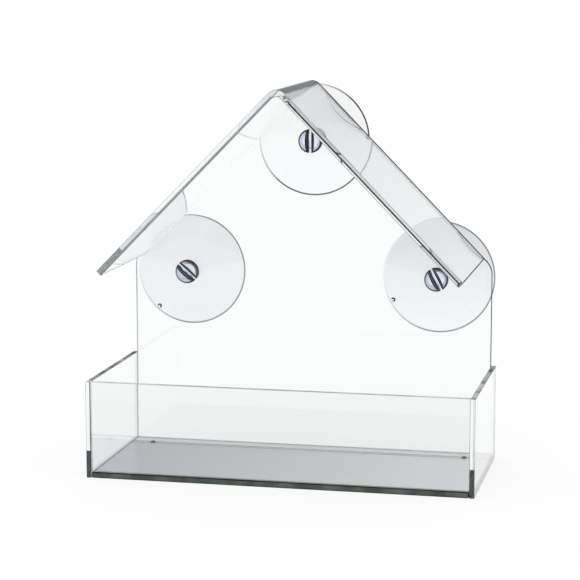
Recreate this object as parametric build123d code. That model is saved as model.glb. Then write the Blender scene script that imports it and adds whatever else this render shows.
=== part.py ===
from build123d import *

import os
from math import cos, radians, sin, tan

# Window bird feeder: a house-shaped seed tray of clear acrylic sheet that hangs on three suction cups.
# Lengths are in millimetres and angles in degrees. +Z is up, the open front faces -Y, the window is
# behind the feeder at +Y, and the origin is the centre of the glued body's footprint, on its underside.

# The glued body's outer sizes
body_width = 150.0
body_height = 150.0
body_depth = 65.0
tray_height = 37.7

# The acrylic sheets' thicknesses
side_thickness = 2.0
front_thickness = 2.0
back_thickness = 2.0
base_thickness = 2.5
roof_thickness = 2.5

# The gable roof, bent from one sheet, and the back plate's rounded shoulders
roof_pitch = 45.6
eave_inset = 3.1
ridge_inner_radius = 2.0
shoulder_radius = 7.0

# The two drain holes in the tray's base
drain_hole_radius = 1.0
drain_hole_from_side = 9.0
drain_hole_from_back = 8.0

# The places of the cups on the back plate
side_cup_from_edge = 22.0
side_cup_below_slope = 27.85
top_cup_below_ridge = 24.0

# A suction cup's flexible disc, behind the plate
cup_radius = 22.5
cup_reach = 5.5
cup_rim_width = 0.8
cup_rim_thickness = 0.7
cup_hollow_depth = 2.4
cup_collar_radius = 4.6
gate_mark_radius = 0.9
gate_mark_height = 0.4
gate_mark_along_disc_share = 0.895

# A suction cup's neck, through the plate, and its split head in front of it
neck_radius = 3.0
head_radius = 4.75
head_height = 2.8
head_crown_rise = 0.4
head_edge_width = 0.8
head_edge_height = 1.1
slit_width = 1.0
slit_floor_thickness = 0.8
slit_lip_width = 1.5
slit_lip_depth = 1.3

# The angle of a cup's seam line, clear of its gate mark and its slit
seam_turn = 45.0

# Clearances of a cup in its plate hole, and the overrun of every cut
neck_clearance = 0.05
cup_end_clearance = 0.2
cut_overrun = 1.0

# How far each cup is turned in its hole, anticlockwise as seen from the front
top_cup_turn = 0.0
left_cup_turn = 229.0
right_cup_turn = 208.0

# Planes and heights that several pieces share
inner_side_x = body_width / 2 - side_thickness
tray_front_y = -body_depth / 2
plate_back_y = body_depth / 2
plate_front_y = plate_back_y - back_thickness
ridge_outer_radius = ridge_inner_radius + roof_thickness
apex_height = body_height - ridge_outer_radius + ridge_outer_radius / cos(radians(roof_pitch))


def slope_point(x):
    """The point on the roof's outer slopes, prolonged to a sharp apex, at x across the feeder."""
    return (x, apex_height - abs(x) * tan(radians(roof_pitch)))


def cup_places():
    """Each cup's node name, its axis across the feeder and up it, and its turn."""
    side_x = inner_side_x - side_cup_from_edge
    side_z = slope_point(side_x)[1] - side_cup_below_slope
    return [
        ("top_suction_cup", 0, body_height - top_cup_below_ridge, top_cup_turn),
        ("left_suction_cup", -side_x, side_z, left_cup_turn),
        ("right_suction_cup", side_x, side_z, right_cup_turn),
    ]


# Acrylic sheets


def flat_sheet(low, high):
    """A square-cut sheet between its lowest and its highest corner."""
    sizes = [high_end - low_end for low_end, high_end in zip(low, high)]
    return Pos(*low) * Box(*sizes, align=(Align.MIN, Align.MIN, Align.MIN))


def make_tray_sides():
    """The left and right walls of the seed tray, outside the base, the front and the plate."""
    right_side = flat_sheet((inner_side_x, tray_front_y, 0), (body_width / 2, plate_back_y, tray_height))
    left_side = mirror(right_side, about=Plane.YZ)
    return left_side, right_side


def make_tray_base():
    """The tray's floor, between the side walls and in front of the plate, with two drain holes."""
    base = flat_sheet((-inner_side_x, tray_front_y, 0), (inner_side_x, plate_front_y, base_thickness))
    hole_x = inner_side_x - drain_hole_from_side
    hole_y = plate_front_y - drain_hole_from_back
    hole = Cylinder(drain_hole_radius, base_thickness + 2 * cut_overrun)
    for x in (-hole_x, hole_x):
        base -= Pos(x, hole_y, base_thickness / 2) * hole
    return base


def make_tray_front():
    """The low front wall, which stands on the base between the side walls."""
    back_y = tray_front_y + front_thickness
    return flat_sheet((-inner_side_x, tray_front_y, base_thickness), (inner_side_x, back_y, tray_height))


def make_back_plate():
    """The house-shaped plate between the side walls, holed for the three cups."""
    shoulder = slope_point(inner_side_x)
    gable = FilletPolyline(
        (-inner_side_x, 0),
        slope_point(-inner_side_x),
        slope_point(0),
        shoulder,
        (inner_side_x, 0),
        radius=[shoulder_radius, ridge_outer_radius, shoulder_radius],
    )
    foot = Line((inner_side_x, 0), (-inner_side_x, 0))
    plate = extrude(Plane.XZ.offset(-plate_back_y) * make_face(gable + foot), back_thickness)
    hole = Cylinder(neck_radius + neck_clearance, back_thickness + 2 * cut_overrun, rotation=(90, 0, 0))
    for _, x, z, _ in cup_places():
        plate -= Pos(x, plate_front_y + back_thickness / 2, z) * hole
    return plate


def make_roof():
    """The roof: one sheet bent over the ridge, cut square at the eaves, glued to the plate's front face."""
    eave_x = inner_side_x - eave_inset
    drop_across = roof_thickness * sin(radians(roof_pitch))
    drop_down = roof_thickness * cos(radians(roof_pitch))
    outer_eave_z = slope_point(eave_x)[1]
    inner_eave = (eave_x - drop_across, outer_eave_z - drop_down)
    inner_apex = (0, apex_height - roof_thickness / cos(radians(roof_pitch)))
    outer_line = FilletPolyline(
        slope_point(-eave_x), slope_point(0), slope_point(eave_x), radius=ridge_outer_radius
    )
    inner_line = FilletPolyline(
        (-inner_eave[0], inner_eave[1]), inner_apex, inner_eave, radius=ridge_inner_radius
    )
    right_end = Line(slope_point(eave_x), inner_eave)
    left_end = mirror(right_end, about=Plane.YZ)
    profile = make_face(outer_line + inner_line + right_end + left_end)
    return extrude(Plane.XZ.offset(-plate_front_y) * profile, plate_front_y - tray_front_y)


# Suction cups


def make_cup():
    """A suction cup about the Y axis, with the plate's back face at Y = 0 and the window at +Y.

    Its gate mark lies towards +X, square to the slit in its head.
    """
    head_back_y = -back_thickness - cup_end_clearance
    head_front_y = head_back_y - head_height
    crown_edge = (head_radius - head_edge_width, head_front_y + head_crown_rise)
    head_side_y = crown_edge[1] + head_edge_height
    rim_front_y = cup_reach - cup_rim_thickness
    rim_inner_radius = cup_radius - cup_rim_width
    hollow_top_y = cup_reach - cup_hollow_depth

    disc_front = Line((cup_collar_radius, cup_end_clearance), (cup_radius, rim_front_y))
    section = make_face(
        TangentArc((0, head_front_y), crown_edge, tangent=(1, 0))
        + TangentArc(crown_edge, (head_radius, head_side_y), tangent=(0, -1), tangent_from_first=False)
        + Polyline(
            (head_radius, head_side_y),
            (head_radius, head_back_y),
            (neck_radius, head_back_y),
            (neck_radius, cup_end_clearance),
            (cup_collar_radius, cup_end_clearance),
        )
        + disc_front
        + Polyline((cup_radius, rim_front_y), (cup_radius, cup_reach), (rim_inner_radius, cup_reach))
        + TangentArc((0, hollow_top_y), (rim_inner_radius, cup_reach), tangent=(1, 0))
        + Line((0, hollow_top_y), (0, head_front_y))
    )
    cup = Rot(0, seam_turn, 0) * revolve(section, Axis.Y)

    gate_mark = Cylinder(gate_mark_radius, 2 * gate_mark_height, rotation=(90, 0, 0))
    cup += Pos(disc_front @ gate_mark_along_disc_share) * gate_mark

    slit_half_width = slit_width / 2
    lip_half_width = slit_half_width + slit_lip_width
    lip_foot_y = head_front_y + slit_lip_depth
    half_slit = make_face(
        Polyline(
            (0, -slit_floor_thickness),
            (slit_half_width, -slit_floor_thickness),
            (slit_half_width, lip_foot_y),
            (lip_half_width, head_front_y),
            (lip_half_width, head_front_y - cut_overrun),
            (0, head_front_y - cut_overrun),
            close=True,
        )
    )
    slit_section = half_slit + mirror(half_slit, about=Plane.YZ)
    return cup - extrude(slit_section, head_radius + cut_overrun, both=True)


def make_cups():
    """The three cups, seated in the plate's holes and each turned its own way."""
    cup = make_cup()
    return {name: Pos(x, plate_back_y, z) * Rot(0, -turn, 0) * cup for name, x, z, turn in cup_places()}


left_wall, right_wall = make_tray_sides()
parts = {
    "back_plate": make_back_plate(),
    "roof": make_roof(),
    "tray_left_side": left_wall,
    "tray_right_side": right_wall,
    "tray_front": make_tray_front(),
    "tray_base": make_tray_base(),
}
parts.update(make_cups())

os.makedirs("parts", exist_ok=True)
for name, shape in parts.items():
    export_step(shape, "parts/" + name + ".step")
    print(name, round(shape.volume, 1))
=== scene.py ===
# %% [markdown]
# # A clear window feeder
# The real feeder is a little house glued up from clear acrylic sheet: a tray with a floor, a low front and two walls,
# a back plate in the shape of a gable, and a roof bent from one sheet. Three clear suction cups hold it to a window.
# Everything here is in metres. X runs across the feeder, -Y is its open front, +Y the window, and Z is up.

# %% Load the measured model
import math

import bmesh
import bpy
from mathutils import Matrix, Vector


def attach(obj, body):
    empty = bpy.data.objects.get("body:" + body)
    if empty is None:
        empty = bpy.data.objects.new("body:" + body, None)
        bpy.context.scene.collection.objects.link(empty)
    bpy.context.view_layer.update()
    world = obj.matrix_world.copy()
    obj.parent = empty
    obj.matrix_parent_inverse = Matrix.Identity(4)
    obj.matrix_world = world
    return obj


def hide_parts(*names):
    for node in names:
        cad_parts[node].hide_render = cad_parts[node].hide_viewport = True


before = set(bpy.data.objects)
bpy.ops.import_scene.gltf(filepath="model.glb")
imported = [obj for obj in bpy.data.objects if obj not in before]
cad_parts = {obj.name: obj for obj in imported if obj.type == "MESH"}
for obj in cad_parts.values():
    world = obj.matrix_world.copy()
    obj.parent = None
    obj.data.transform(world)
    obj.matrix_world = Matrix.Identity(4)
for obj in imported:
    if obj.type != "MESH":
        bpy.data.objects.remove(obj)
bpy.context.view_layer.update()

scene = bpy.context.scene
MM = 0.001

# %% [markdown]
# ## The camera
# A product photograph like this is taken from a little to the right and a little above, with a long lens from less
# than a metre away. The camera could be placed by eye, but here its angles, its distance and its focal length are the
# ones at which the feeder's corners fall where they should.

# %% Place the camera
FRAME_PX = 580
FOCAL_PX = 2056.07
SENSOR_MM = 36.0
azimuth, elevation = math.radians(12.29), math.radians(9.09)
aim = Vector((0.00523, -0.0325, 0.07596))
camera_distance = 0.76328

towards_camera = Vector(
    (math.sin(azimuth) * math.cos(elevation), -math.cos(azimuth) * math.cos(elevation), math.sin(elevation))
)
camera = bpy.data.objects.new("camera", bpy.data.cameras.new("camera"))
scene.collection.objects.link(camera)
camera.location = aim + towards_camera * camera_distance
camera.rotation_euler = (-towards_camera).to_track_quat("-Z", "Y").to_euler()
camera.data.sensor_width = SENSOR_MM
camera.data.lens = FOCAL_PX / FRAME_PX * SENSOR_MM
scene.camera = camera
print("lens", round(camera.data.lens, 1), "mm")

# %% [markdown]
# ## Node helpers
# Every finish below is built from shader nodes. These few lines add a node with its settings and join two sockets,
# so that each material reads as a short recipe.

# %% Helpers for node trees
def add(tree, kind, **settings):
    """A new shader node of one kind, with its plain settings."""
    made = tree.nodes.new("ShaderNode" + kind)
    for key, value in settings.items():
        setattr(made, key, value)
    return made


def join(tree, source, target):
    """A link from an output socket to an input socket."""
    tree.links.new(source, target)


def remap(tree, value, low, high, out_low, out_high):
    """A Map Range node on a value, clamped, and its result."""
    made = add(tree, "MapRange")
    for key, number in (("From Min", low), ("From Max", high), ("To Min", out_low), ("To Max", out_high)):
        made.inputs[key].default_value = number
    join(tree, value, made.inputs["Value"])
    return made.outputs["Result"]


def combine(tree, operation, first, second):
    """The result of a Math node on two values."""
    made = add(tree, "Math", operation=operation)
    join(tree, first, made.inputs[0])
    join(tree, second, made.inputs[1])
    return made.outputs[0]


def blend_colours(tree, mask, first, second):
    """A colour that goes from the first to the second as the mask goes from 0 to 1."""
    made = add(tree, "Mix", data_type="RGBA")
    made.inputs["A"].default_value = (*first, 1)
    made.inputs["B"].default_value = (*second, 1)
    join(tree, mask, made.inputs["Factor"])
    return made.outputs["Result"]


# %% [markdown]
# ## The studio
# Clear acrylic shows only what is round it. The feeder stands on a white table in front of a white backdrop, and the
# room on the camera's side is dimmer: that is what draws the grey lines along the edges. It is dimmer up to the left as
# well, and the bend of the roof mirrors that corner. A world colour that falls off towards those sides does this
# without any lamp in view.

# %% Light the room
WHITE, ROOM_TINT, ROOM_FILL = (1, 1, 1, 1), (0.97, 0.985, 1.0, 1), 0.95


def build_world():
    """White where the camera looks. What the plastic bends or mirrors is dimmer on some sides.

    Those sides are behind the camera, below the table, overhead, and up to the left.
    """
    world = bpy.data.worlds.new("white_studio")
    scene.world = world
    world.use_nodes = True
    tree = world.node_tree
    tree.nodes.clear()
    where = add(tree, "TexCoord")
    parts = add(tree, "SeparateXYZ")
    join(tree, where.outputs["Generated"], parts.inputs["Vector"])
    behind = remap(tree, parts.outputs["Y"], -0.95, -0.1, 0.15, 1.0)
    below = remap(tree, parts.outputs["Z"], -0.7, -0.3, 0.3, 1.0)
    overhead = remap(tree, parts.outputs["Z"], 0.05, 0.28, 1.0, 0.6)
    left = remap(tree, parts.outputs["X"], -0.2, 0.12, 0.45, 1.0)
    low = remap(tree, parts.outputs["Z"], 0.05, 0.14, 1.0, 0.0)
    up_left = combine(tree, "MAXIMUM", left, low)
    sides = combine(tree, "MULTIPLY", behind, below)
    level = combine(tree, "MULTIPLY", sides, combine(tree, "MULTIPLY", overhead, up_left))

    bent = add(tree, "Background")
    bent.inputs["Color"].default_value = ROOM_TINT
    join(tree, level, bent.inputs["Strength"])
    fill = add(tree, "Background")
    fill.inputs["Color"].default_value = WHITE
    fill.inputs["Strength"].default_value = ROOM_FILL
    seen = add(tree, "Background")
    seen.inputs["Color"].default_value = WHITE

    path = add(tree, "LightPath")
    not_diffuse = add(tree, "MixShader")
    join(tree, path.outputs["Is Diffuse Ray"], not_diffuse.inputs[0])
    join(tree, bent.outputs[0], not_diffuse.inputs[1])
    join(tree, fill.outputs[0], not_diffuse.inputs[2])
    final = add(tree, "MixShader")
    join(tree, path.outputs["Is Camera Ray"], final.inputs[0])
    join(tree, not_diffuse.outputs[0], final.inputs[1])
    join(tree, seen.outputs[0], final.inputs[2])
    out = add(tree, "OutputWorld")
    join(tree, final.outputs[0], out.inputs["Surface"])


build_world()
scene.view_settings.view_transform = "Standard"
print("world", scene.world.name)

# %% [markdown]
# ### How far the light is followed
# A ray that looks through the tray passes many surfaces, and where its bounces run out it turns black. So it may bounce
# more often than Blender lets it by default. Caustics, the bright spots that clear things throw, are off, because they
# would add noise, and under such soft light they hardly show.

# %% Allow many bounces
BOUNCES, GLOSSY_BOUNCES = 24, 12
scene.cycles.max_bounces = BOUNCES
scene.cycles.transmission_bounces = BOUNCES
scene.cycles.glossy_bounces = GLOSSY_BOUNCES
scene.cycles.transparent_max_bounces = BOUNCES
scene.cycles.caustics_reflective = False
scene.cycles.caustics_refractive = False
print("bounces", scene.cycles.max_bounces)

# %% [markdown]
# ### Two soft boxes
# A photographer hangs wide soft boxes above and in front, so that the shadow under the feeder has no hard edge. A sun
# lamp would draw one. Two large disc lamps are used, and they are hidden from reflections and from what the plastic
# bends, because clear plastic would show each of them as a bright disc.

# %% Hang two large soft lamps
def hang_lamp(name, place, size, energy):
    """A round soft box that shines on the feeder but shows in no reflection."""
    data = bpy.data.lights.new(name, "AREA")
    data.shape, data.size, data.energy = "DISK", size, energy
    lamp = bpy.data.objects.new(name, data)
    lamp.location = place
    lamp.rotation_euler = (-lamp.location).to_track_quat("-Z", "Y").to_euler()
    lamp.visible_glossy = lamp.visible_transmission = False
    scene.collection.objects.link(lamp)
    print(name, "at", place)


hang_lamp("top_soft_box", place=(-0.35, -0.35, 0.9), size=0.9, energy=0.6)
hang_lamp("front_soft_box", place=(-0.2, -1.1, 0.55), size=0.9, energy=3.0)

# %% [markdown]
# ### The white table
# The feeder stands on white paper. Stronger lamps could make a paper white, but they would wash out the feeder too. So
# its white is a glow that only the camera, the plastic and reflections see, which puts no more light on the feeder. The
# paper under the glow is dark, and keeps the feeder's soft shadow.

# %% Lay the white table
TABLE_R, TABLE_SIDES = 2.0, 96
PAPER_COLOUR, PAPER_GLOW = (0.14, 0.14, 0.14, 1), 0.86


def build_table():
    """A pale round table top that keeps the feeder's soft shadow."""
    bm = bmesh.new()
    bmesh.ops.create_circle(bm, cap_ends=True, radius=TABLE_R, segments=TABLE_SIDES)
    mesh = bpy.data.meshes.new("table")
    bm.to_mesh(mesh)
    bm.free()
    table = bpy.data.objects.new("table", mesh)
    scene.collection.objects.link(table)

    material = bpy.data.materials.new("white_paper")
    material.use_nodes = True
    tree = material.node_tree
    tree.nodes.clear()
    paper = add(tree, "BsdfDiffuse")
    paper.inputs["Color"].default_value = PAPER_COLOUR
    glow = add(tree, "Emission")
    glow.inputs["Strength"].default_value = PAPER_GLOW
    path = add(tree, "LightPath")
    seen = combine(tree, "MAXIMUM", path.outputs["Is Camera Ray"], path.outputs["Is Transmission Ray"])
    seen_or_mirrored = combine(tree, "MAXIMUM", seen, path.outputs["Is Glossy Ray"])
    # The first input stays empty, so every other ray meets no glow.
    glow_if_seen = add(tree, "MixShader")
    join(tree, seen_or_mirrored, glow_if_seen.inputs[0])
    join(tree, glow.outputs[0], glow_if_seen.inputs[2])
    total = add(tree, "AddShader")
    join(tree, paper.outputs[0], total.inputs[0])
    join(tree, glow_if_seen.outputs[0], total.inputs[1])
    out = add(tree, "OutputMaterial")
    join(tree, total.outputs[0], out.inputs["Surface"])
    mesh.materials.append(material)
    return table


table = build_table()
print("table", round(table.dimensions.x, 2), "m across")

# %% [markdown]
# ## Effects that several finishes share
# Clear plastic is never perfectly clean: fine rub marks and a little dust show where the light grazes it. And a sawn
# edge carries the marks of its blade. Both could be painted into each material, but each effect is a node group with
# its own inputs instead: every clear plastic below uses the first, and every sawn edge the second.

# %% Helpers for the effects
def group(name, inputs, outputs):
    """An empty shader node group with named float sockets, and its two end nodes."""
    tree = bpy.data.node_groups.new(name, "ShaderNodeTree")
    for socket, value in inputs.items():
        tree.interface.new_socket(socket, in_out="INPUT", socket_type="NodeSocketFloat").default_value = value
    for socket in outputs:
        tree.interface.new_socket(socket, in_out="OUTPUT", socket_type="NodeSocketFloat")
    return tree, tree.nodes.new("NodeGroupInput"), tree.nodes.new("NodeGroupOutput")


def stretched(tree, coordinate, scale):
    """A coordinate scaled along each axis, so that a pattern on it is drawn out where the scale is small."""
    made = add(tree, "Mapping")
    made.inputs["Scale"].default_value = scale
    join(tree, coordinate, made.inputs["Vector"])
    return made.outputs["Vector"]


def noise(tree, coordinate, detail, scale):
    """Noise at a coordinate. Its scale is a number or a group's own input."""
    made = add(tree, "TexNoise")
    made.inputs["Detail"].default_value = detail
    join(tree, coordinate, made.inputs["Vector"])
    if isinstance(scale, float):
        made.inputs["Scale"].default_value = scale
    else:
        join(tree, scale, made.inputs["Scale"])
    return made.outputs["Fac"]


# %% Rub marks and saw marks
def build_rub_marks():
    """Rub marks: 0 on clean plastic, up to Amount where it is rubbed or dusty."""
    tree, given, result = group("rub_marks", {"Amount": 1.0, "Scale": 60.0}, ["Mask"])
    where = add(tree, "TexCoord").outputs["Object"]
    upright = stretched(tree, where, (1.0, 1.0, 0.06))
    clouds = noise(tree, where, detail=4.0, scale=given.outputs["Scale"])
    patches = remap(tree, clouds, 0.5, 0.75, 0.0, 1.0)
    scratch = remap(tree, noise(tree, upright, detail=2.0, scale=900.0), 0.66, 0.72, 0.0, 1.0)
    both = combine(tree, "MULTIPLY", patches, scratch)
    join(tree, combine(tree, "MULTIPLY", both, given.outputs["Amount"]), result.inputs["Mask"])
    return tree


def build_saw_marks():
    """Saw marks: a mask from 0 to 1 that mottles a cut edge, with coarse clouds and a fine grain."""
    tree, given, result = group("saw_marks", {"Contrast": 1.0, "Scale": 120.0}, ["Mask"])
    where = add(tree, "TexCoord").outputs["Object"]
    clouds = noise(tree, where, detail=3.0, scale=given.outputs["Scale"])
    coarse = remap(tree, clouds, 0.4, 0.62, 0.0, 1.0)
    fine = remap(tree, noise(tree, where, detail=1.0, scale=1500.0), 0.2, 0.6, 0.3, 1.0)
    both = combine(tree, "MULTIPLY", coarse, fine)
    join(tree, combine(tree, "MULTIPLY", both, given.outputs["Contrast"]), result.inputs["Mask"])
    return tree


rub_marks = build_rub_marks()
saw_marks = build_saw_marks()
print("groups", rub_marks.name, saw_marks.name)

# %% [markdown]
# ## The finishes
# The sheet is real refracting glass in the shader, because an acrylic feeder is recognised by its bent edges and its
# reflections. A plain see-through alpha would show neither. Shadow rays pass through it with a small loss, as light
# does, so that the table under the feeder is only softly shaded. Chamfers, the bend and the cups' rims are darker tints
# of the same plastic: painted shade, for the darkness that shows where the eye looks along the sheet.

# %% Finish: clear acrylic
ACRYLIC_IOR, VINYL_IOR = 1.49, 1.53
CLEAR_SHADE, GREY_SHADE = (0.97, 0.97, 0.975), (0.9, 0.9, 0.905)
RUBBED_ROUGHNESS = 0.25
# The bend's reflection is dimmed to this tint, part of the painted shade on the bend.
BEND_REFLECTION_DIMMED = (0.2, 0.2, 0.2, 1)


def clear_plastic(name, pale, rubbed, rub_amount=1.0, roughness=0.0, shade=GREY_SHADE, ior=ACRYLIC_IOR):
    """Refracting plastic in a pale tint, with duller rub marks in another tint. Shade is the tint of its shadow."""
    material = bpy.data.materials.new(name)
    material.use_nodes = True
    tree = material.node_tree
    shader = tree.nodes["Principled BSDF"]
    out = tree.nodes["Material Output"]
    shader.inputs["IOR"].default_value = ior
    shader.inputs["Transmission Weight"].default_value = 1.0
    marks = add(tree, "Group", node_tree=rub_marks)
    marks.inputs["Amount"].default_value = rub_amount
    join(tree, blend_colours(tree, marks.outputs["Mask"], pale, rubbed), shader.inputs["Base Color"])
    duller = remap(tree, marks.outputs["Mask"], 0.0, 1.0, roughness, roughness + RUBBED_ROUGHNESS)
    join(tree, duller, shader.inputs["Roughness"])

    through = add(tree, "BsdfTransparent")
    through.inputs["Color"].default_value = (*shade, 1)
    path = add(tree, "LightPath")
    either = add(tree, "MixShader")
    join(tree, path.outputs["Is Shadow Ray"], either.inputs[0])
    join(tree, shader.outputs[0], either.inputs[1])
    join(tree, through.outputs[0], either.inputs[2])
    join(tree, either.outputs[0], out.inputs["Surface"])
    return material


polished_acrylic = clear_plastic(
    "polished_acrylic", (0.965, 0.975, 0.976), (0.9, 0.91, 0.92), rub_amount=0.5, shade=CLEAR_SHADE
)
front_acrylic = clear_plastic(
    "front_acrylic", (0.93, 0.945, 0.942), (0.88, 0.89, 0.9), rub_amount=0.5, shade=CLEAR_SHADE
)
# Painted shade: the bend's outer and inner faces are tinted near black, for the dark band along the ridge.
bend_shade_acrylic = clear_plastic("bend_shade_acrylic", (0.08, 0.081, 0.083), (0.12, 0.122, 0.125), roughness=0.05)
bend_shade_acrylic.node_tree.nodes["Principled BSDF"].inputs["Specular Tint"].default_value = BEND_REFLECTION_DIMMED
inner_bend_shade_acrylic = clear_plastic(
    "inner_bend_shade_acrylic", (0.06, 0.062, 0.065), (0.05, 0.052, 0.054), rub_amount=0.6, roughness=0.05
)
eave_acrylic = clear_plastic(
    "eave_acrylic", (0.08, 0.083, 0.087), (0.24, 0.245, 0.25), roughness=0.5, shade=(0.8, 0.8, 0.805)
)
# Painted shade: a grey tint for the wedge beside the bend.
shade_wedge_acrylic = clear_plastic("shade_wedge_acrylic", (0.42, 0.43, 0.44), (0.56, 0.57, 0.58), roughness=0.03)
frosted_acrylic = clear_plastic("frosted_acrylic", (0.55, 0.56, 0.565), (0.35, 0.355, 0.36), roughness=0.45)
# The floor's grey is partly the sheet's own tint and partly painted shade, for the shadow under the tray.
floor_acrylic = clear_plastic(
    "floor_acrylic", (0.68, 0.7, 0.75), (0.8, 0.81, 0.83), rub_amount=0.7, shade=(0.55, 0.55, 0.57)
)
# Dark glue seams, and painted shade on the left wall's upright chamfers.
seam_and_edge_shade_acrylic = clear_plastic("seam_and_edge_shade_acrylic", (0.06, 0.063, 0.067), (0.2, 0.205, 0.21), roughness=0.4)
print("clear acrylic from", polished_acrylic.name, "to", seam_and_edge_shade_acrylic.name)

# %% Finish: clear vinyl
# The rims' near-black tint is painted shade; the paler tint laid over it further down is painted light.
rim_shade_vinyl = clear_plastic(
    "rim_shade_vinyl", (0.006, 0.0063, 0.007), (0.03, 0.031, 0.033),
    rub_amount=0.4, roughness=0.1, shade=(0.9, 0.91, 0.93), ior=VINYL_IOR,
)
clear_vinyl = clear_plastic(
    "clear_vinyl", (0.985, 0.99, 0.995), (0.93, 0.94, 0.95),
    rub_amount=0.4, roughness=0.01, shade=(0.95, 0.96, 0.98), ior=VINYL_IOR,
)
head_vinyl = clear_plastic(
    "head_vinyl", (0.66, 0.72, 0.84), (0.6, 0.66, 0.78),
    rub_amount=0.4, roughness=0.02, shade=(0.85, 0.87, 0.92), ior=VINYL_IOR,
)
print("clear vinyl", rim_shade_vinyl.name, clear_vinyl.name, head_vinyl.name)

# %% [markdown]
# ### Tints that change over a piece
# The floor is paler towards the right, and clear in a strip along the back plate, up to a thin dark line: the paler
# side and the clear strip are painted light. The cups differ too: the side cups' discs carry painted shade, and each
# dark rim is paler on one side, which is painted light. The tint of such a piece follows its own coordinates, or an
# attribute of its vertices, so that it stays where it is on the plastic from every side.

# %% Finish: tints over the floor and the cups
# Where the painted light along the plate starts, the width of the dark line there, and the painted light to the right.
LIT_STRIP_FROM_Y, DARK_LINE_W = 22 * MM, 0.7 * MM
PALER_FROM_X, PALER_TO_X, PALEST = -70 * MM, 50 * MM, 0.95


def tint_over(material, mask, tint):
    """Another tint on a clear plastic, where a mask is 1."""
    tree = material.node_tree
    base = tree.nodes["Principled BSDF"].inputs["Base Color"]
    mixed = add(tree, "Mix", data_type="RGBA")
    join(tree, mask, mixed.inputs["Factor"])
    join(tree, base.links[0].from_socket, mixed.inputs["A"])
    mixed.inputs["B"].default_value = (*tint, 1)
    join(tree, mixed.outputs["Result"], base)


def tint_floor(material):
    """The floor's tint: paler to the right and clear along the plate, both painted light, up to a thin dark line."""
    tree = material.node_tree
    parts = add(tree, "SeparateXYZ")
    join(tree, add(tree, "TexCoord").outputs["Object"], parts.inputs["Vector"])
    lit_strip = add(tree, "Math", operation="GREATER_THAN")
    line = add(tree, "Math", operation="COMPARE")
    for node in (lit_strip, line):
        join(tree, parts.outputs["Y"], node.inputs[0])
        node.inputs[1].default_value = LIT_STRIP_FROM_Y
    line.inputs[2].default_value = DARK_LINE_W
    paler = remap(tree, parts.outputs["X"], PALER_FROM_X, PALER_TO_X, 0.0, PALEST)
    tint_over(material, paler, (0.98, 1.0, 1.0))
    tint_over(material, lit_strip.outputs[0], (1.0, 1.0, 1.0))
    tint_over(material, line.outputs[0], (0.2, 0.21, 0.23))


def tint_by_attribute(material, attribute, tint):
    """Another tint on a moulding, as far as its own attribute goes from 0 to 1."""
    value = add(material.node_tree, "Attribute", attribute_name=attribute)
    tint_over(material, value.outputs["Fac"], tint)


tint_floor(floor_acrylic)
# Painted light pales each dark rim on one side, and painted shade greys the side cups' discs.
tint_by_attribute(rim_shade_vinyl, "rim_light", (0.9, 0.905, 0.91))
tint_by_attribute(clear_vinyl, "disc_shade", (0.7, 0.725, 0.765))
print("tints over", floor_acrylic.name, rim_shade_vinyl.name, clear_vinyl.name)

# %% [markdown]
# ### Sawn edges
# A saw leaves the end of a sheet rough and mottled. It scatters the light, so it looks grey beside the clear faces. It
# could be rough glass, but an opaque finish keeps its marks in view, and from inside the sheet it looks dark, as the
# foot of a wall does when the eye looks into the wall's front end.

# %% Finish: sawn edge
SAWN_SPECULAR, SAWN_ROUGHNESS = 0.1, (0.45, 0.7)
RELIEF_STRENGTH, RELIEF_DEPTH = 0.3, 0.1 * MM


def sawn_edge(name, dark, light, scale=120.0):
    """The cut end of a sheet: frosted by the blade, so it scatters light and looks grey against the clear faces."""
    material = bpy.data.materials.new(name)
    material.use_nodes = True
    tree = material.node_tree
    shader = tree.nodes["Principled BSDF"]
    shader.inputs["Specular IOR Level"].default_value = SAWN_SPECULAR
    marks = add(tree, "Group", node_tree=saw_marks)
    marks.inputs["Scale"].default_value = scale
    join(tree, blend_colours(tree, marks.outputs["Mask"], dark, light), shader.inputs["Base Color"])
    join(tree, remap(tree, marks.outputs["Mask"], 0.0, 1.0, *SAWN_ROUGHNESS), shader.inputs["Roughness"])
    relief = add(tree, "Bump")
    relief.inputs["Strength"].default_value = RELIEF_STRENGTH
    relief.inputs["Distance"].default_value = RELIEF_DEPTH
    join(tree, marks.outputs["Mask"], relief.inputs["Height"])
    join(tree, relief.outputs["Normal"], shader.inputs["Normal"])
    return material


sawn_acrylic = sawn_edge("sawn_acrylic", (0.17, 0.18, 0.185), (0.75, 0.76, 0.77))
lower_line = sawn_edge("lower_line", (0.33, 0.35, 0.355), (0.42, 0.44, 0.445))
# Dark sawn slopes of the plate, and painted shade in the strips along the right roof slope.
sawn_edge_and_strip_shade = sawn_edge("sawn_edge_and_strip_shade", (0.04, 0.042, 0.045), (0.1, 0.103, 0.106))
scraped_acrylic = sawn_edge("scraped_acrylic", (0.1, 0.105, 0.11), (0.55, 0.56, 0.57), 60.0)
sawn_floor_edge = sawn_edge("sawn_floor_edge", (0.085, 0.098, 0.086), (0.17, 0.188, 0.17))
# Painted shade in the drain holes, and the dark scraped finish of the floor's front chamfers and hidden ends.
scraped_edge_and_hole_shade = sawn_edge("scraped_edge_and_hole_shade", (0.012, 0.014, 0.013), (0.05, 0.055, 0.05), 60.0)
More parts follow.
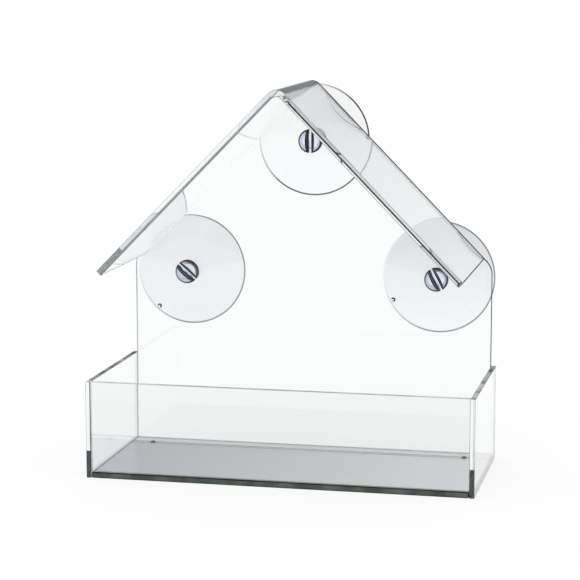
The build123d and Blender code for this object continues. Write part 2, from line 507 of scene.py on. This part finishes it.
# The next four are no cut ends but painted shade and a painted highlight on the cups, on the same opaque recipe.
slit_shade = sawn_edge("slit_shade", (0.06, 0.078, 0.125), (0.105, 0.13, 0.19), 300.0)
slit_glint = sawn_edge("slit_glint", (0.2, 0.24, 0.33), (0.3, 0.35, 0.46), 300.0)
head_rim_shade = sawn_edge("head_rim_shade", (0.13, 0.15, 0.2), (0.4, 0.44, 0.54), 200.0)
gate_shade = sawn_edge("gate_shade", (0.008, 0.009, 0.01), (0.04, 0.042, 0.045), 60.0)
pale_sawn_edge = sawn_edge("pale_sawn_edge", (0.6, 0.61, 0.615), (0.85, 0.86, 0.865))
grey_sawn_edge = sawn_edge("grey_sawn_edge", (0.06, 0.062, 0.064), (0.12, 0.122, 0.125))
print("sawn finishes from", sawn_acrylic.name, "to", grey_sawn_edge.name)

# %% [markdown]
# ## Glued sheets
# Each flat sheet could be a scaled cube, but a sawn and scraped sheet has a fine chamfer on every edge, and that
# chamfer draws the thin dark outline that clear sheet shows. So each sheet is a bmesh cube that is moved to its
# corners, then bevelled. The sheets are drawn a hair smaller than they are, which leaves the glue line between them.
# Each face holds the place of its finish in its piece's list, and the first four places mean the same in every sheet.
# How a face lies is read from its normal: SQUARE_ON and the names after it are limits for the normal along an axis.

# %% Measures of the sheets
GLUE_GAP = 0.02 * MM
CHAMFER = 0.18 * MM
FEEDER_WIDTH, FEEDER_HEIGHT, FEEDER_DEPTH = 150 * MM, 150 * MM, 65 * MM
SIDE_T, FRONT_T, BACK_T, BASE_T, ROOF_T = 2 * MM, 2 * MM, 2 * MM, 2.5 * MM, 2.5 * MM
WALL_HEIGHT = 37.7 * MM
inner_x = FEEDER_WIDTH / 2 - SIDE_T
front_y, back_y = -FEEDER_DEPTH / 2, FEEDER_DEPTH / 2
plate_front_y = back_y - BACK_T
SMOOTH_BELOW, CHAMFER_ABOVE = math.radians(20), math.radians(40)
SQUARE_ON, MOSTLY, LEANING, LEVEL = 0.9, 0.5, 0.3, 0.1
POLISHED, SAWN, SCRAPED, LIGHTLY_SCRAPED = range(4)
print("inside of the walls at", inner_x, "front of the plate at", plate_front_y)


# %% Helpers that finish a piece
def chamfer_all(bm, width):
    """A fine chamfer along every sharp edge, whose faces are marked as scraped."""
    sharp = [e for e in bm.edges if len(e.link_faces) == 2 and e.calc_face_angle() > CHAMFER_ABOVE]
    made = bmesh.ops.bevel(
        bm, geom=sharp, offset=width, segments=1, profile=0.5, affect="EDGES", material=-1, clamp_overlap=True
    )
    for face in made["faces"]:
        face.material_index = SCRAPED


def make_piece(bm, name, cad_node, body, materials, pick=None, lightly=None):
    """A finished piece that stands for a CAD node and rides its body.

    pick says what finish a face has, and lightly which scraped faces are only lightly scraped. Without them, each face
    keeps the finish that it has.
    """
    for face in bm.faces:
        face.smooth = True
        if face.material_index == SCRAPED:
            face.material_index = LIGHTLY_SCRAPED if lightly and lightly(face) else SCRAPED
        elif pick:
            face.material_index = pick(face)
    for edge in bm.edges:
        edge.smooth = len(edge.link_faces) == 2 and edge.calc_face_angle() < SMOOTH_BELOW
    mesh = bpy.data.meshes.new(name)
    bm.to_mesh(mesh)
    bm.free()
    for material in materials:
        mesh.materials.append(material)
    piece = bpy.data.objects.new(name, mesh)
    scene.collection.objects.link(piece)
    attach(piece, body)
    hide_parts(cad_node)
    print(name, "faces", len(mesh.polygons))


def flat_sheet(low, high, chamfer=CHAMFER):
    """A bmesh sheet between two corners, less the glue line, chamfered."""
    bm = bmesh.new()
    bmesh.ops.create_cube(bm, size=1)
    size = [high_end - low_end - 2 * GLUE_GAP for low_end, high_end in zip(low, high)]
    middle = [(high_end + low_end) / 2 for low_end, high_end in zip(low, high)]
    bmesh.ops.scale(bm, vec=size, verts=bm.verts)
    bmesh.ops.translate(bm, vec=middle, verts=bm.verts)
    chamfer_all(bm, chamfer)
    return bm


# %% [markdown]
# ### The tray's two walls
# A wall's top and its foot are left as the saw cut them, so they are grey and mottled. Its front end was polished and
# is clear: looking into it, the eye sees the dark foot through the wall, low down. The upright chamfers of the left
# wall are tinted darker than the right wall's: painted shade.

# %% Make the walls
def wall_face(face):
    """Sawn on the top and the foot, polished elsewhere."""
    return SAWN if abs(face.normal.z) > SQUARE_ON else POLISHED


for side, name in ((-1, "tray_left_side"), (1, "tray_right_side")):
    edges_x = sorted((side * inner_x, side * FEEDER_WIDTH / 2))
    sheet = flat_sheet((edges_x[0], front_y, 0), (edges_x[1], back_y, WALL_HEIGHT))
    # Painted shade: the left wall's upright chamfers get the darker tint.
    upright_chamfer = seam_and_edge_shade_acrylic if side < 0 else frosted_acrylic
    make_piece(
        sheet, name + "_sheet", name, "feeder_body",
        [polished_acrylic, sawn_acrylic, scraped_acrylic, upright_chamfer],
        wall_face, lambda face: abs(face.normal.z) < LEVEL,
    )

# %% [markdown]
# ### The tray's front
# The low front stands on the floor between the walls. Its top is a pale, clean cut, and a chamfer as wide as on the
# other sheets would outline it too strongly, so its chamfer is finer.

# %% Make the front
FRONT_CHAMFER = 0.1 * MM
sheet = flat_sheet((-inner_x, front_y, BASE_T), (inner_x, front_y + FRONT_T, WALL_HEIGHT), FRONT_CHAMFER)
make_piece(
    sheet, "tray_front_sheet", "tray_front", "feeder_body",
    [front_acrylic, pale_sawn_edge, frosted_acrylic],
    lambda face: SAWN if face.normal.z > SQUARE_ON else POLISHED,
)

# %% [markdown]
# ### Holes
# A drilled hole could be modelled as a ring of faces, but a drill does the same as a Boolean: it takes a cylinder out
# of the finished sheet. The cutter is thrown away once its cut is in the mesh, and its object goes with its mesh.

# %% A helper that drills and cuts
def carve(bm, cutter, operation="DIFFERENCE"):
    """The bmesh after a Boolean with another bmesh. Both are used up."""
    pair = []
    for label, each in (("blank", bm), ("cutter", cutter)):
        mesh = bpy.data.meshes.new(label)
        each.to_mesh(mesh)
        each.free()
        thing = bpy.data.objects.new(label, mesh)
        scene.collection.objects.link(thing)
        pair.append(thing)
    blank, tool = pair
    cut = blank.modifiers.new("cut", "BOOLEAN")
    cut.operation, cut.solver, cut.object = operation, "EXACT", tool
    done = bpy.data.meshes.new_from_object(blank.evaluated_get(bpy.context.evaluated_depsgraph_get()))
    result = bmesh.new()
    result.from_mesh(done)
    for mesh in (done, blank.data, tool.data):
        bpy.data.meshes.remove(mesh)
    return result


def rod(radius, start, end, segments=64):
    """A bmesh cylinder between two points."""
    bm = bmesh.new()
    axis = Vector(end) - Vector(start)
    turned = axis.to_track_quat("Z", "Y").to_matrix().to_4x4()
    bmesh.ops.create_cone(
        bm, cap_ends=True, segments=segments, radius1=radius, radius2=radius, depth=axis.length,
        matrix=Matrix.Translation((Vector(start) + Vector(end)) / 2) @ turned,
    )
    return bm


# %% [markdown]
# ### The tray's floor
# The floor lies between the walls, under the front and against the plate. Its long front edge is in full view: the eye
# looks through the whole depth of the sheet there, which turns it dark green-grey. Two small holes drain the rain, and
# painted shade darkens their walls.

# %% Make the floor
DRAIN_R, DRAIN_FROM_SIDE, DRAIN_FROM_BACK = 1 * MM, 9 * MM, 8 * MM
FLOOR_CHAMFER = 0.4 * MM


def floor_face(face):
    """Sawn on the front edge, painted shade inside the drain holes, polished elsewhere."""
    middle = face.calc_center_median()
    if abs(face.normal.z) > MOSTLY or middle.y > plate_front_y - DRAIN_R:
        return POLISHED
    return SAWN if middle.y < front_y + DRAIN_R else SCRAPED


sheet = flat_sheet((-inner_x, front_y, 0), (inner_x, plate_front_y, BASE_T), FLOOR_CHAMFER)
for side in (-1, 1):
    x, y = side * (inner_x - DRAIN_FROM_SIDE), plate_front_y - DRAIN_FROM_BACK
    sheet = carve(sheet, rod(DRAIN_R, (x, y, -BASE_T), (x, y, 2 * BASE_T), segments=32))
make_piece(
    sheet, "tray_floor_sheet", "tray_base", "feeder_body",
    [floor_acrylic, sawn_floor_edge, scraped_edge_and_hole_shade, seam_and_edge_shade_acrylic], floor_face,
    lambda face: face.calc_center_median().y > front_y + DRAIN_R and abs(face.normal.z) > MOSTLY,
)

# %% [markdown]
# ### The back plate
# The plate starts as a flat house of five corners. Its shoulders and its ridge are rounded by bevelling those corners,
# then it is thickened, chamfered and drilled for the three cups.

# %% Measures of the gable
PITCH = math.radians(45.6)
RIDGE_R = 2 * MM + ROOF_T
SHOULDER_R = 7 * MM
EAVE_INSET = 3.1 * MM
apex_z = FEEDER_HEIGHT - RIDGE_R + RIDGE_R / math.cos(PITCH)


def slope_z(x):
    """The height of the roof's outer slopes at x."""
    return apex_z - abs(x) * math.tan(PITCH)


CUP_X = inner_x - 22 * MM
CUPS = {
    "top": (0.0, FEEDER_HEIGHT - 24 * MM, 0.0),
    "left": (-CUP_X, slope_z(CUP_X) - 27.85 * MM, math.radians(229)),
    "right": (CUP_X, slope_z(CUP_X) - 27.85 * MM, math.radians(208)),
}
NECK_HOLE_R = 3.05 * MM
print("cups at", CUPS)


# %% Helpers for the plate
CORNER_STEPS, HOLE_REACH, RIGHT_SIDE = 12, 1.1 * NECK_HOLE_R, 4


def rounded_house():
    """The plate's front face, with its three upper corners rounded."""
    bm = bmesh.new()
    half, foot = inner_x - GLUE_GAP, GLUE_GAP
    corners = [(-half, foot), (-half, slope_z(half)), (0, apex_z - GLUE_GAP), (half, slope_z(half)), (half, foot)]
    verts = [bm.verts.new((x, plate_front_y + GLUE_GAP, z)) for x, z in corners]
    bm.faces.new(verts)
    at_shoulder = math.pi / 2 - PITCH
    for vert, radius, turn in (
        (verts[1], SHOULDER_R, at_shoulder), (verts[2], RIDGE_R, 2 * PITCH), (verts[3], SHOULDER_R, at_shoulder)
    ):
        reach = radius * math.tan(turn / 2)
        bmesh.ops.bevel(
            bm, geom=[vert], offset=reach, segments=CORNER_STEPS, profile=0.5, affect="VERTICES", material=-1
        )
    return bm


def plate_face(face):
    """Sawn along the slopes, greyer down the right side, polished on both faces, in the holes and down the left."""
    middle = face.calc_center_median()
    in_hole = any(math.hypot(middle.x - x, middle.z - z) < HOLE_REACH for x, z, _ in CUPS.values())
    if in_hole or abs(face.normal.y) > MOSTLY or face.normal.x < -MOSTLY:
        return POLISHED
    return SAWN if abs(face.normal.z) > LEANING else RIGHT_SIDE


# %% Make the plate
plate = rounded_house()
extruded = bmesh.ops.extrude_face_region(plate, geom=plate.faces[:])
back_verts = [v for v in extruded["geom"] if isinstance(v, bmesh.types.BMVert)]
bmesh.ops.translate(plate, vec=(0, BACK_T - 2 * GLUE_GAP, 0), verts=back_verts)
bmesh.ops.recalc_face_normals(plate, faces=plate.faces)
chamfer_all(plate, CHAMFER)
for x, z, _ in CUPS.values():
    plate = carve(plate, rod(NECK_HOLE_R, (x, back_y - 3 * BACK_T, z), (x, back_y + 3 * BACK_T, z)))
make_piece(
    plate, "back_plate_sheet", "back_plate", "feeder_body",
    [polished_acrylic, sawn_edge_and_strip_shade, sawn_edge_and_strip_shade, frosted_acrylic, grey_sawn_edge],
    plate_face, lambda face: face.normal.z < LEANING and face.normal.x < LEANING,
)

# %% [markdown]
# ### The roof
# The real roof is one sheet, heated along a line and bent. Two boxes would meet in a seam that the real one doesn't
# have, so the mesh is bent in the same way: the cut end of the sheet runs up one slope, spins round the bend's axis and
# runs down the other slope. The spin leaves its last face inside the sheet, where every edge has a third face, and that
# face is taken out again, so that the sheet is one closed shell.

# %% Bend the roof
BEND_STEPS, WELD = 24, 1e-7
eave_x = inner_x - EAVE_INSET
up_left_slope = Vector((math.cos(PITCH), 0, math.sin(PITCH)))
down_right_slope = Vector((math.cos(PITCH), 0, -math.sin(PITCH)))
inward = Vector((math.sin(PITCH), 0, -math.cos(PITCH)))
slope_length = eave_x / math.cos(PITCH) - RIDGE_R * math.tan(PITCH)


def extrude_end(bm, face, vector):
    """Draw a sheet or a bar on from its end face by a vector, and give the new end face."""
    moved = bmesh.ops.extrude_face_region(bm, geom=[face])["geom"]
    bmesh.ops.translate(bm, vec=vector, verts=[v for v in moved if isinstance(v, bmesh.types.BMVert)])
    return next(f for f in moved if isinstance(f, bmesh.types.BMFace))


roof = bmesh.new()
outer_eave = Vector((-eave_x, 0, slope_z(eave_x)))
roof_back_y = plate_front_y - GLUE_GAP
corners = []
for depth, y in ((0, front_y), (0, roof_back_y), (ROOF_T, roof_back_y), (ROOF_T, front_y)):
    corners.append(roof.verts.new(outer_eave + inward * depth + Vector((0, y, 0))))
end = extrude_end(roof, roof.faces.new(corners), up_left_slope * slope_length)
spun = bmesh.ops.spin(
    roof, geom=[end, *end.edges, *end.verts], cent=(0, 0, FEEDER_HEIGHT - RIDGE_R), axis=(0, 1, 0), dvec=(0, 0, 0),
    angle=2 * PITCH, steps=BEND_STEPS, use_merge=False, use_duplicate=False,
)
end = next(f for f in spun["geom_last"] if isinstance(f, bmesh.types.BMFace))
extrude_end(roof, end, down_right_slope * slope_length)
bmesh.ops.remove_doubles(roof, verts=roof.verts, dist=WELD)
inside = [f for f in roof.faces if all(len(e.link_faces) > 2 for e in f.edges)]
bmesh.ops.delete(roof, geom=inside, context="FACES_ONLY")
bmesh.ops.recalc_face_normals(roof, faces=roof.faces)
print("roof open edges", sum(len(e.link_faces) != 2 for e in roof.edges))
chamfer_all(roof, CHAMFER)

# %% [markdown]
# ### The roof's lines
# On top of the right slope, painted shade lies in a strip along the plate, in a strip along the eave and in a wedge
# beside the bend, and each ends in a straight line on the sheet. A texture could draw them, but here each line is cut
# across its faces with bisect_plane, so that the two sides can have their own finish. The wedge narrows towards the
# back.

# %% Score the roof's lines
# Widths of the painted shade along the plate and the eave and of its wedge, the grey lower strip, and the clear tip.
BACK_SHADE_STRIP, EAVE_SHADE_STRIP, LOWER_STRIP, SHADE_WEDGE_W, CLEAR_TIP = 0.8 * MM, 0.5 * MM, 0.95 * MM, 2.4 * MM, 1.2 * MM
ON_PLANE = 1e-8
bend_x = RIDGE_R * math.sin(PITCH)
inner_bend_x = (RIDGE_R - ROOF_T) * math.sin(PITCH)
right_eave = Vector((eave_x, 0, slope_z(eave_x)))
shade_wedge_tip = Vector((bend_x, plate_front_y, 0))
along_shade_wedge = Vector((bend_x + SHADE_WEDGE_W, front_y, 0)) - shade_wedge_tip
across_shade_wedge = Vector((-along_shade_wedge.y, along_shade_wedge.x, 0)).normalized()
lower_strip_at = outer_eave + inward * (ROOF_T - LOWER_STRIP)


def on_right_slope(face):
    """Whether a face lies on top of the right slope."""
    return face.normal.z > MOSTLY and face.normal.x > MOSTLY and face.calc_center_median().x > bend_x


def on_left_front(face):
    """Whether a face is part of the left slope's front edge."""
    return face.normal.y < -SQUARE_ON and face.calc_center_median().x < -bend_x


def score(bm, belongs, at, across):
    """A line cut across the faces that belong. Their parts are listed once each, in the order of the mesh."""
    faces = [f for f in bm.faces if belongs(f)]
    geom = dict.fromkeys(part for f in faces for part in (f, *f.edges, *f.verts))
    bmesh.ops.bisect_plane(bm, geom=list(geom), dist=ON_PLANE, plane_co=at, plane_no=across)


score(roof, on_right_slope, (0, plate_front_y - BACK_SHADE_STRIP, 0), (0, 1, 0))
score(roof, on_right_slope, right_eave - down_right_slope * EAVE_SHADE_STRIP, down_right_slope)
score(roof, on_right_slope, shade_wedge_tip, across_shade_wedge)
score(roof, on_right_slope, (0, front_y + CLEAR_TIP, 0), (0, 1, 0))
score(roof, on_left_front, lower_strip_at, inward)
print("roof faces after scoring", len(roof.faces))

# %% Finish the roof
# The bend, its inside, the strips on the right slope and the wedge carry painted shade.
BEND_SHADE, INNER_BEND_SHADE, SLOPE_SHADE, SHADE_WEDGE, LOWER = range(4, 9)


def roof_face(face):
    """Sawn left eave, painted shade on the bend, in two strips and in a wedge, a grey line, or polished."""
    middle = face.calc_center_median()
    if on_right_slope(face):
        by_eave = (right_eave - middle).dot(down_right_slope) < EAVE_SHADE_STRIP and middle.y > front_y + CLEAR_TIP
        if by_eave or middle.y > plate_front_y - BACK_SHADE_STRIP:
            return SLOPE_SHADE
        return SHADE_WEDGE if (middle - shade_wedge_tip).dot(across_shade_wedge) < 0 else POLISHED
    if on_left_front(face):
        return LOWER if (middle - lower_strip_at).dot(inward) > 0 else POLISHED
    if middle.x < ROOF_T - eave_x and face.normal.z < -MOSTLY and face.normal.x < 0:
        return SAWN
    if abs(middle.x) < bend_x and face.normal.z > MOSTLY:
        return BEND_SHADE
    return INNER_BEND_SHADE if abs(middle.x) < inner_bend_x and face.normal.z < -MOSTLY else POLISHED


make_piece(
    roof, "roof_sheet", "roof", "feeder_body",
    [polished_acrylic, eave_acrylic, scraped_acrylic, frosted_acrylic, bend_shade_acrylic, inner_bend_shade_acrylic, sawn_edge_and_strip_shade,
     shade_wedge_acrylic, lower_line],
    roof_face, lambda face: not 0 < face.calc_center_median().x < eave_x - ROOF_T,
)

# %% [markdown]
# ## The suction cups
# A cup is one soft moulding: a thin dished disc, a short neck and a round head with a slit, so that the head can be
# squeezed through its hole. Everything but the slit and the gate mark is round, so the cup is half a section, spun
# about its axis. The slit has sloping lips, painted dark as shade beside the bright floor of the slit.

# %% Measures of a cup
CUP_R, CUP_REACH, RIM_W, RIM_T, HOLLOW = 22.5 * MM, 5.5 * MM, 0.8 * MM, 0.7 * MM, 2.4 * MM
COLLAR_R = 4.6 * MM
NECK_R, HEAD_R, HEAD_H = 3 * MM, 4.75 * MM, 2.8 * MM
HEAD_EDGE_W, HEAD_SIDE_DROP, END_CLEARANCE = 0.8 * MM, 0.56 * MM, 0.2 * MM
CROWN_ROUNDING = 0.98
SLIT_W, SLIT_FLOOR, LIP_W, LIP_DEPTH = 1.0 * MM, 0.8 * MM, 1.5 * MM, 1.3 * MM
GATE_R, GATE_H, GATE_SHARE = 0.9 * MM, 0.4 * MM, 0.895
CUT_OVERRUN, TOUCH, CUT_WELD = 1 * MM, 0.01 * MM, 0.001 * MM
head_back = -BACK_T - END_CLEARANCE
head_front = head_back - HEAD_H
gate_x = COLLAR_R + (CUP_R - COLLAR_R) * GATE_SHARE
gate_y = END_CLEARANCE + (CUP_REACH - RIM_T - END_CLEARANCE) * GATE_SHARE
print("cup's head from", head_front, "to", head_back, "and its gate mark at", gate_x)

# %% Spin the moulding
ROUNDING_STEPS, SPIN_STEPS = 10, 128


def cup_section():
    """Half the cup's section as a face in the plane of its axis, with its curves made by bevelling corners.

    Each corner has its distance from the axis, its place along the axis, and how far it is rounded.
    """
    bm = bmesh.new()
    crown_half, hollow_half = (HEAD_R - HEAD_EDGE_W) / 2, (CUP_R - RIM_W) / 2
    corners = [
        (0, head_front, 0), (crown_half, head_front, crown_half * CROWN_ROUNDING),
        (HEAD_R, head_front + HEAD_SIDE_DROP, 0.85 * MM), (HEAD_R, head_back, 0.15 * MM), (NECK_R, head_back, 0),
        (NECK_R, END_CLEARANCE, 0), (COLLAR_R, END_CLEARANCE, 1.0 * MM), (CUP_R, CUP_REACH - RIM_T, 0.2 * MM),
        (CUP_R, CUP_REACH, 0.15 * MM), (CUP_R - RIM_W, CUP_REACH, 0.1 * MM),
        (hollow_half, CUP_REACH - HOLLOW, hollow_half * CROWN_ROUNDING), (0, CUP_REACH - HOLLOW, 0),
    ]
    made = [(bm.verts.new((r, y, 0)), round_by) for r, y, round_by in corners]
    bm.faces.new([v for v, _ in made])
    for vert, round_by in made:
        if round_by:
            bmesh.ops.bevel(
                bm, geom=[vert], offset=round_by, segments=ROUNDING_STEPS, profile=0.5, affect="VERTICES",
                material=-1,
            )
    return bm


def spin_cup():
    """The round moulding about the Y axis, with the plate's back face at y = 0."""
    bm = cup_section()
    bmesh.ops.delete(bm, geom=bm.faces[:], context="FACES_ONLY")
    on_axis = [e for e in bm.edges if all(abs(v.co.x) < WELD for v in e.verts)]
    bmesh.ops.delete(bm, geom=on_axis, context="EDGES")
    bmesh.ops.spin(
        bm, geom=bm.verts[:] + bm.edges[:], cent=(0, 0, 0), axis=(0, 1, 0), dvec=(0, 0, 0), angle=2 * math.pi,
        steps=SPIN_STEPS, use_merge=True, use_duplicate=False,
    )
    bmesh.ops.remove_doubles(bm, verts=bm.verts, dist=WELD)
    bmesh.ops.recalc_face_normals(bm, faces=bm.faces)
    return bm


# %% [markdown]
# ### The slit and the gate mark
# The slit and the gate's pip aren't round about the cup's axis, so the spin can't make them. They could be extruded
# from the spun faces, but those don't end where the slit does. So a bar with the slit's section is subtracted, and a
# short rod is added. Each lip has a painted highlight, a paler streak, so two edges are cut along it.

# %% Helpers for the slit and the gate mark
GLINT_FROM, GLINT_TO = 1.05 * MM, 1.4 * MM
LIP_SLANT_FROM, LIP_SLANT_TO, UPRIGHT = 0.4, 0.95, 0.01
GATE_INSET = 0.68


def slit_cutter():
    """The slit and its sloping lips, as a bar along Z."""
    bm = bmesh.new()
    slit, lip, end_z, top = SLIT_W / 2, SLIT_W / 2 + LIP_W, HEAD_R + CUT_OVERRUN, head_front - CUT_OVERRUN
    outline = [
        (-slit, -SLIT_FLOOR), (-slit, head_front + LIP_DEPTH), (-lip, head_front), (-lip, top),
        (lip, top), (lip, head_front), (slit, head_front + LIP_DEPTH), (slit, -SLIT_FLOOR),
    ]
    extrude_end(bm, bm.faces.new([bm.verts.new((x, y, -end_z)) for x, y in outline]), (0, 0, 2 * end_z))
    bmesh.ops.recalc_face_normals(bm, faces=bm.faces)
    return bm


def on_lip(face):
    """Whether a face is one of the slit's sloping lips."""
    middle = face.calc_center_median()
    in_slit = abs(middle.x) < SLIT_W / 2 + LIP_W and middle.y < head_front + LIP_DEPTH and abs(middle.z) < HEAD_R
    return in_slit and LIP_SLANT_FROM < abs(face.normal.x) < LIP_SLANT_TO and abs(face.normal.z) < UPRIGHT


def line_the_lips(bm):
    """Two edges cut along each lip, which leave a narrow strip in its middle for the painted highlight."""
    for x in (-GLINT_TO, -GLINT_FROM, GLINT_FROM, GLINT_TO):
        score(bm, on_lip, (x, 0, 0), (1, 0, 0))


def gate_pip():
    """The short round pip that the mould's gate leaves, with its end scored round a small middle."""
    bm = rod(GATE_R, (gate_x, gate_y - GATE_H, 0), (gate_x, gate_y + GATE_H / 2, 0), segments=24)
    end = min(bm.faces, key=lambda f: f.calc_center_median().y)
    bmesh.ops.inset_region(bm, faces=[end], thickness=GATE_R * GATE_INSET, use_even_offset=True)
    return bm


# %% Finishes of a cup's faces
DISC, LIP_SHADE, RIM_SHADE, HEAD, HEAD_RIM_SHADE, GLINT, GATE_MARK_SHADE = range(7)
# Widths of the painted shade on the disc's rim and round the head's rim.
SEEN_RIM_W, HEAD_SHADE_W, SLIT_SIDE = 0.55 * MM, 0.72 * MM, 0.999
# Where the gate mark's painted shade lies: a C round its middle, open on the side away from the cup's axis.
GATE_REACH, GATE_HOLLOW, GATE_GAP = GATE_R * 1.02, GATE_R * 0.33, GATE_R * 0.4


def cup_face(face):
    """Painted shade and highlight on the lips, painted shade on both rims and the gate mark, the head, or the disc."""
    middle = face.calc_center_median()
    around = math.hypot(middle.x, middle.z)
    if on_lip(face):
        return GLINT if GLINT_FROM < abs(middle.x) < GLINT_TO else LIP_SHADE
    if abs(middle.x) < SLIT_W / 2 and middle.y < TOUCH - SLIT_FLOOR and around < NECK_R:
        return HEAD
    if middle.y < head_back + TOUCH:
        return HEAD_RIM_SHADE if around > HEAD_R - HEAD_SHADE_W and abs(face.normal.x) < SLIT_SIDE else HEAD
    gate = Vector((middle.x - gate_x, middle.z))
    if gate.length < GATE_REACH and middle.y < gate_y:
        return GATE_MARK_SHADE if gate.length > GATE_HOLLOW and gate.x < GATE_GAP else DISC
    return RIM_SHADE if around > CUP_R - SEEN_RIM_W else DISC


# %% Make the moulding
def make_cup():
    """One cup about its own axis: spun, with its gate mark added and its slit cut."""
    bm = spin_cup()
    bm = carve(bm, gate_pip(), "UNION")
    bm = carve(bm, slit_cutter())
    bmesh.ops.remove_doubles(bm, verts=bm.verts, dist=CUT_WELD)
    line_the_lips(bm)
    for face in bm.faces:
        face.material_index = cup_face(face)
    print("cup open edges", sum(len(e.link_faces) != 2 for e in bm.edges))
    counts = [sum(f.material_index == kind for f in bm.faces) for kind in (GATE_MARK_SHADE, LIP_SHADE, GLINT)]
    print("faces of the gate mark, the lips and their glints", counts)
    return bm


moulding = make_cup()

# %% [markdown]
# ### Three cups in their holes
# The cups are the same moulding, so it is made once and copied, and each copy is turned its own way, as a cup turns
# freely in its hole. They differ only in painted light and shade: the side cups' discs carry painted shade that grows
# towards their tops, and each dark rim carries painted light that is strongest on one side. Each row says how much
# painted shade greys a cup's disc, how much more towards its top, how much painted light pales its whole rim, and the
# side where the rim is palest. Two attributes of the vertices carry that to the shaders, so one material serves all
# three.

# %% Wear of the cups
CUP_LIGHT_AND_SHADE = {
    "top": (0.0, 0.0, 0.0, Vector((-0.75, 0, 0.66))),
    "left": (0.4, 0.1, 0.15, Vector((-0.95, 0, 0.3))),
    "right": (0.45, 0.4, 0.15, Vector((-0.95, 0, 0.3))),
}

# %% Seat the three cups
for place, (x, z, turn) in CUPS.items():
    cup = moulding.copy()
    bmesh.ops.rotate(cup, cent=(0, 0, 0), matrix=Matrix.Rotation(-turn, 3, "Y"), verts=cup.verts)
    rim_light, disc_shade = (cup.verts.layers.float.new(layer) for layer in ("rim_light", "disc_shade"))
    disc_shade_all, disc_shade_to_top, rim_light_all, lit_side = CUP_LIGHT_AND_SHADE[place]
    # The rim's painted light grows towards its lit side; the disc's painted shade grows towards the top.
    for vert in cup.verts:
        vert[rim_light] = rim_light_all + (1 - rim_light_all) * min(1, max(0, vert.co.dot(lit_side) / CUP_R))
        vert[disc_shade] = min(1, max(0, disc_shade_all + disc_shade_to_top * vert.co.z / CUP_R))
    bmesh.ops.translate(cup, vec=(x, back_y, z), verts=cup.verts)
    make_piece(
        cup, place + "_cup_moulding", place + "_suction_cup", place + "_cup",
        [clear_vinyl, slit_shade, rim_shade_vinyl, head_vinyl, head_rim_shade, slit_glint, gate_shade],
    )
moulding.free()
